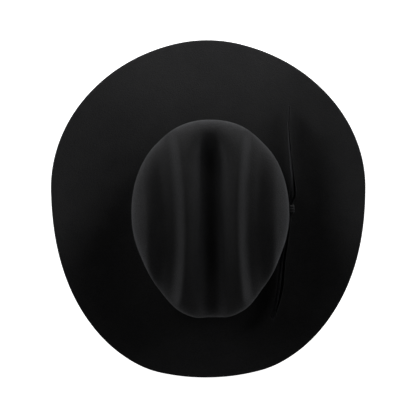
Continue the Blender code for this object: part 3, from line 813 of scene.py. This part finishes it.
def bow_stitches(centre):
    """The tacking that holds the knot to the band, with its cut ends standing up a little."""
    x = (BASE_HALF_WIDTH + CLEARANCE + BAND_THICKNESS + KNOT_CENTRE[0] - KNOT_HALF_DEPTH) / 2
    x -= KNOT_WRAP * 0.65
    pieces = []
    for i in range(5):
        a = np.array([x, centre[1] - 0.0026 + 0.0012 * i, centre[2] - 0.0025])
        b = a + (0.0, 0.0008, 0.005)
        line = [a + (b - a) * t + (0.00012 * math.sin(t * math.pi), 0.0, 0.0)
                for t in np.linspace(0.0, 1.0, 9)]
        pieces.append(lofted("stitch", tube(line, THREAD_RADIUS * 0.55, 8, False)))
    top = np.array([x + 0.0012, centre[1] - 0.001, centre[2] + KNOT_HALF_HEIGHT + KNOT_WRAP])
    for i in range(6):
        turn = 1.1 + i * 1.9
        reach = 0.0014 + 0.0004 * (i % 3)
        end = top + (reach * math.cos(turn), 1.6 * reach * math.sin(turn), 0.0010 + 0.0002 * i)
        middle = (top + end) / 2 + (0.0, 0.0, 0.0006)
        line = smooth_path([top - (0.0, 0.0, 0.0008), middle, end], 0.0002)
        pieces.append(lofted("stitch", tube(line, THREAD_RADIUS * 0.4, 6, False)))
    return join("bow_stitches", pieces)


def make_sweatband(leather):
    """A leather strip around the inside, its two ends meeting at the centre back."""
    u, length = even_angles(SWEATBAND_STATIONS)
    reach = SWEATBAND_HALF_GAP / BASE_HALF_WIDTH
    turned = np.sort((u - BACK) % math.tau)
    turned = turned[(turned > reach) & (turned < math.tau - reach)]
    u = np.concatenate([[reach], turned, [math.tau - reach]]) + BACK
    heights = np.linspace(SWEATBAND_FOOT, SWEATBAND_TOP, 26)
    along = (u - BACK) / math.tau * length
    rows = []
    spots = []
    middle = SWEATBAND_FACE + SWEATBAND_THICKNESS / 2
    for face in (-1, 1):
        for height in heights[::-face]:
            part = (height - SWEATBAND_FOOT) / (SWEATBAND_TOP - SWEATBAND_FOOT)
            ends = min(part, 1.0 - part)
            half = SWEATBAND_THICKNESS / 2 * math.sqrt(min(1.0, 0.35 + ends * 40.0))
            soft = 0.00018 * (1.0 + ripple(u, part * 2.0, 7)) * smooth_rise(part, 0.15, 1.0)
            rows.append(wall_point(u, height, middle + face * half + soft))
            spots.append(np.stack([along, np.full(len(u), height)], axis=-1))
    band = lofted("sweatband_leather", np.stack(rows, axis=1), False, np.stack(spots, axis=1))
    settle(band, leather, "leather", "sweatband")


def make_reed(plastic):
    """The round reed that keeps the sweatband's lower edge in shape."""
    points = wall_point(even_angles(REED_STATIONS)[0], REED_HEIGHT, REED_DEPTH)
    reed = lofted("sweatband_reed_cord", tube(points, REED_RADIUS, 12, True), True)
    settle(reed, plastic, "reed", "sweatband_reed")


def make_reed_tape(cloth):
    """A tape folded under the reed, its two legs holding the sweatband's lower edge."""
    around = REED_RADIUS + CLEARANCE + TAPE_THICKNESS / 2
    leg_out = SWEATBAND_FACE - CLEARANCE - TAPE_THICKNESS / 2
    leg_in = SWEATBAND_FACE + SWEATBAND_THICKNESS + CLEARANCE + TAPE_THICKNESS / 2
    path = [(leg_out, TAPE_TOP), (leg_out, 0.0060), (REED_DEPTH - around, REED_HEIGHT + REED_RADIUS)]
    path += [(REED_DEPTH - around * math.cos(math.radians(a)),
              REED_HEIGHT - around * math.sin(math.radians(a))) for a in (30, 60, 90, 120, 150)]
    path += [(REED_DEPTH + around, REED_HEIGHT + REED_RADIUS), (leg_in, 0.0060), (leg_in, TAPE_TOP)]
    path = smooth_path(path, 0.0006)
    ahead = np.gradient(path, axis=0)
    ahead /= np.linalg.norm(ahead, axis=1, keepdims=True)
    side = np.stack([-ahead[:, 1], ahead[:, 0]], axis=1) * TAPE_THICKNESS / 2
    loop = np.concatenate([path + side, (path - side)[::-1]])
    across = np.concatenate([lengths_along(path), lengths_along(path)[::-1]])
    u, length = even_angles(TAPE_STATIONS)
    along = np.arange(TAPE_STATIONS) * length / TAPE_STATIONS
    rows = [wall_point(u, height, depth) for depth, height in loop]
    spots = [np.stack([along, np.full(TAPE_STATIONS, part)], axis=-1) for part in across]
    tape = lofted("reed_tape_cloth", np.stack(rows, axis=1), True, np.stack(spots, axis=1))
    settle(tape, cloth, "tape", "reed_tape")


def make_stitching(thread):
    """Separate stitches through the tape, and the zigzag that closes the back seam."""
    face = SWEATBAND_FACE + SWEATBAND_THICKNESS + CLEARANCE + TAPE_THICKNESS
    depth = face + 2 * CLEARANCE + THREAD_RADIUS
    length = even_angles(8)[1]
    count = int(length / STITCH_PITCH)
    starts = even_angles(count)[0]
    reach = 0.36 * STITCH_PITCH / BASE_HALF_WIDTH
    pieces = []
    for start in starts:
        u = start + np.linspace(-reach, reach, 7)
        dip = 0.00035 * np.array([1.0, 0.35, 0.05, 0.0, 0.05, 0.35, 1.0])
        line = wall_point(u, STITCH_HEIGHT, depth - dip)
        pieces.append(lofted("stitch", tube(line, THREAD_RADIUS, 6, False)))
    settle(join("sweatband_stitches", pieces), thread, "thread", "sweatband_stitching")

    inner = SWEATBAND_FACE + SWEATBAND_THICKNESS + CLEARANCE + THREAD_RADIUS
    heights = np.linspace(TAPE_TOP + 0.003, SWEATBAND_TOP - 0.003, SEAM_STITCHES * 2)
    corners = []
    for i, height in enumerate(heights):
        u = BACK + (-1) ** i * SEAM_HALF_WIDTH / BASE_HALF_WIDTH
        corners.append(wall_point(np.array(u), height, inner))
    zigzag = []
    for a, b in zip(corners, corners[1:]):
        zigzag += [a + (b - a) * t for t in (0.0, 0.12, 0.3, 0.5, 0.7, 0.88)]
    seam = lofted("sweatband_seam_zigzag", tube(zigzag + [corners[-1]], THREAD_RADIUS, 8, False))
    settle(seam, thread, "thread", "sweatband_seam_thread")


def make_inner_bow(ribbon):
    """The small flat bow that marks the back of the sweatband."""
    depth = SWEATBAND_FACE + SWEATBAND_THICKNESS + 2 * THREAD_RADIUS + 3 * CLEARANCE
    thick = INNER_BOW_THICKNESS
    centre_z = wall_point(np.array(BACK), INNER_BOW_CENTRE, depth)[2]
    for node, side in (("sweatband_bow_left", 1), ("sweatband_bow_right", -1)):
        path = []
        for reach, lift in INNER_BOW_SHAPE:
            u = np.array(BACK - side * reach / BASE_HALF_WIDTH)
            path.append(wall_point(u, INNER_BOW_CENTRE, depth + lift * thick)[:2])
        leaf, length = ribbon_leaf(
            node + "_ribbon", path, INNER_BOW_HEIGHT, INNER_BOW_HEIGHT * INNER_BOW_ROOT,
            INNER_BOW_GATHER, centre_z, thick, 0.0, 1.0,
        )
        settle(leaf, ribbon, "grosgrain", node)
    centre = wall_point(np.array(BACK), INNER_BOW_CENTRE, depth + 3.0 * thick)
    knot = knot_wrap("sweatband_bow_knot_ribbon", centre, INNER_KNOT_HALF_DEPTH,
                     INNER_KNOT_HALF_HEIGHT, thick, INNER_KNOT_HALF_LENGTH, (0.0, -1.0), 2.0)
    settle(knot, ribbon, "grosgrain", "sweatband_bow_knot")


def make_lining(satin):
    """The side lining tucks behind the sweatband and meets the tip lining at a corded seam."""
    u, length = even_angles(LINING_STATIONS)
    seam = LINING_SEAM - LINING_SEAM_GAP / 2
    steps = np.concatenate([np.linspace(LINING_FOOT, 2.95, 10), np.linspace(3.0, seam, 26)])
    rows = []
    for face, order in ((0.0, steps), (1.0, steps[::-1])):
        for v in order:
            folds = 1.0 + np.sin(GATHERS * u + 2.0 * ripple(u, v, 9))
            gather = SIDE_GATHER * smooth_rise(v, 2.97, seam) * folds
            rows.append(layer_point(u, v, LINING_FACE + face * LINING_THICKNESS + gather))
    side = lofted("lining_side_satin", np.stack(rows, axis=1), True)
    settle(side, satin, "satin", "lining_side")

    steps = np.linspace(LINING_SEAM + LINING_SEAM_GAP / 2, 3.975, 40)
    rings = []
    for face, order in ((0.0, steps[::-1]), (1.0, steps)):
        for v in order:
            folds = 1.0 + np.sin(GATHERS * u)
            pull = TIP_GATHER * smooth_rise(-v, -3.62, -LINING_SEAM) * folds
            rings.append(layer_point(u, v, LINING_FACE + face * LINING_THICKNESS + pull))
    tip = lofted("lining_tip_satin", np.array(rings))
    settle(tip, satin, "satin", "lining_tip")

    depth = LINING_FACE + LINING_THICKNESS + CLEARANCE + PIPING_RADIUS
    points = layer_point(u, LINING_SEAM, np.full(len(u), depth))
    cord = lofted("lining_cord", tube(points, PIPING_RADIUS, 10, True), True)
    settle(cord, satin, "satin", "lining_piping")


# ---------------------------------------------------------------- studio


FLOOR_GLOW = 1.05
FLOOR_SIZE = 40.0
ROOM_LIGHT = 0.025
LIGHT_SIZE = 0.6
LIGHT_DISTANCE = 1.5
# Each pair of softboxes: degrees from the back, degrees above the floor, watts.
SOFTBOXES = (
    ("low_back", 37.0, 4.0, 23.0),
    ("side", 59.0, 35.0, 5.2),
    ("high_back", 30.0, 38.0, 2.6),
)


def make_floor():
    """A wide sheet of white paper just under the hat."""
    mesh = bpy.data.meshes.new("floor")
    half = FLOOR_SIZE / 2
    mesh.from_pydata([(-half, -half, -0.0003), (half, -half, -0.0003),
                      (half, half, -0.0003), (-half, half, -0.0003)], [], [(0, 1, 2, 3)])
    floor = bpy.data.objects.new("floor", mesh)
    floor.data.materials.append(floor_finish())
    bpy.context.scene.collection.objects.link(floor)


def make_world():
    """A white room to look at, which lights the hat only faintly."""
    world = bpy.data.worlds.new("studio")
    world.use_nodes = True
    bpy.context.scene.world = world
    tree = world.node_tree
    background = tree.nodes["Background"]
    path = tree.nodes.new("ShaderNodeLightPath")
    strength = tree.nodes.new("ShaderNodeMapRange")
    strength.inputs["To Min"].default_value = ROOM_LIGHT
    strength.inputs["To Max"].default_value = 1.0
    tree.links.new(path.outputs["Is Camera Ray"], strength.inputs["Value"])
    tree.links.new(strength.outputs["Result"], background.inputs["Strength"])
    background.inputs["Color"].default_value = (1.0, 1.0, 1.0, 1.0)


def make_light(name, from_back, elevation, power):
    """A round softbox, placed by its angles from the back of the hat and above the floor."""
    data = bpy.data.lights.new(name, "AREA")
    data.shape = "DISK"
    data.size = LIGHT_SIZE
    data.energy = power
    a, e = math.radians(from_back), math.radians(elevation)
    target = Vector((0.0, 0.0, 0.05))
    away = Vector((math.sin(a) * math.cos(e), math.cos(a) * math.cos(e), math.sin(e)))
    light = bpy.data.objects.new(name, data)
    light.location = target + away * LIGHT_DISTANCE
    light.rotation_euler = (-away).to_track_quat("-Z", "Y").to_euler()
    bpy.context.scene.collection.objects.link(light)


def make_camera():
    """Looks down on the hat, a little from its back and its right, and turned slightly."""
    data = bpy.data.cameras.new("camera")
    data.lens = CAMERA_LENS
    data.sensor_width = 36.0
    camera = bpy.data.objects.new("camera", data)
    place_at = Vector(CAMERA_PLACE)
    ahead = (Vector(CAMERA_TARGET) - place_at).normalized()
    right = ahead.cross(Vector((0.0, 1.0, 0.0))).normalized()
    up = right.cross(ahead)
    turned_right = right * math.cos(CAMERA_TURN) - up * math.sin(CAMERA_TURN)
    turned_up = up * math.cos(CAMERA_TURN) + right * math.sin(CAMERA_TURN)
    axes = Matrix((turned_right, turned_up, -ahead)).transposed()
    camera.matrix_world = Matrix.Translation(place_at) @ axes.to_4x4()
    bpy.context.scene.collection.objects.link(camera)
    bpy.context.scene.camera = camera


def make_studio():
    """Floor, room, softboxes in pairs at the hat's left and right, and the camera."""
    make_floor()
    make_world()
    for side, name in ((1, "left"), (-1, "right")):
        for place, from_back, elevation, power in SOFTBOXES:
            make_light(f"{name}_{place}", side * from_back, elevation, power)
    make_camera()
    bpy.context.scene.view_settings.view_transform = "Standard"


# ---------------------------------------------------------------- assembly


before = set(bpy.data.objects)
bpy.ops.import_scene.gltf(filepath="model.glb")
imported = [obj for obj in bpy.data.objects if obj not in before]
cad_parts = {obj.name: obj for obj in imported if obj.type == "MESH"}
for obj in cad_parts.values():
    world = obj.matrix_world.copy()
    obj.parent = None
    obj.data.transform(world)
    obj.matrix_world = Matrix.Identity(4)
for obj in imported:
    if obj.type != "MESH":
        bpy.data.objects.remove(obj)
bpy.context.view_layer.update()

LIFT = 0.0
LIFT = -float(felt_rings()[..., 2].min())

grosgrain = grosgrain_finish()
black_thread = thread_finish("thread_black", (0.010, 0.010, 0.011), (0.03, 0.03, 0.032), 0.6)
satin_cloth = satin_finish()

make_felt(felt_finish())
make_band(grosgrain)
make_bow(grosgrain, thread_finish("thread_grey", (0.04, 0.04, 0.04), (0.12, 0.12, 0.12), 0.5))
make_sweatband(leather_finish())
make_reed(plastic_finish())
make_reed_tape(tape_finish())
make_stitching(black_thread)
make_inner_bow(grosgrain)
make_lining(satin_cloth)
make_studio()

bpy.context.view_layer.update()
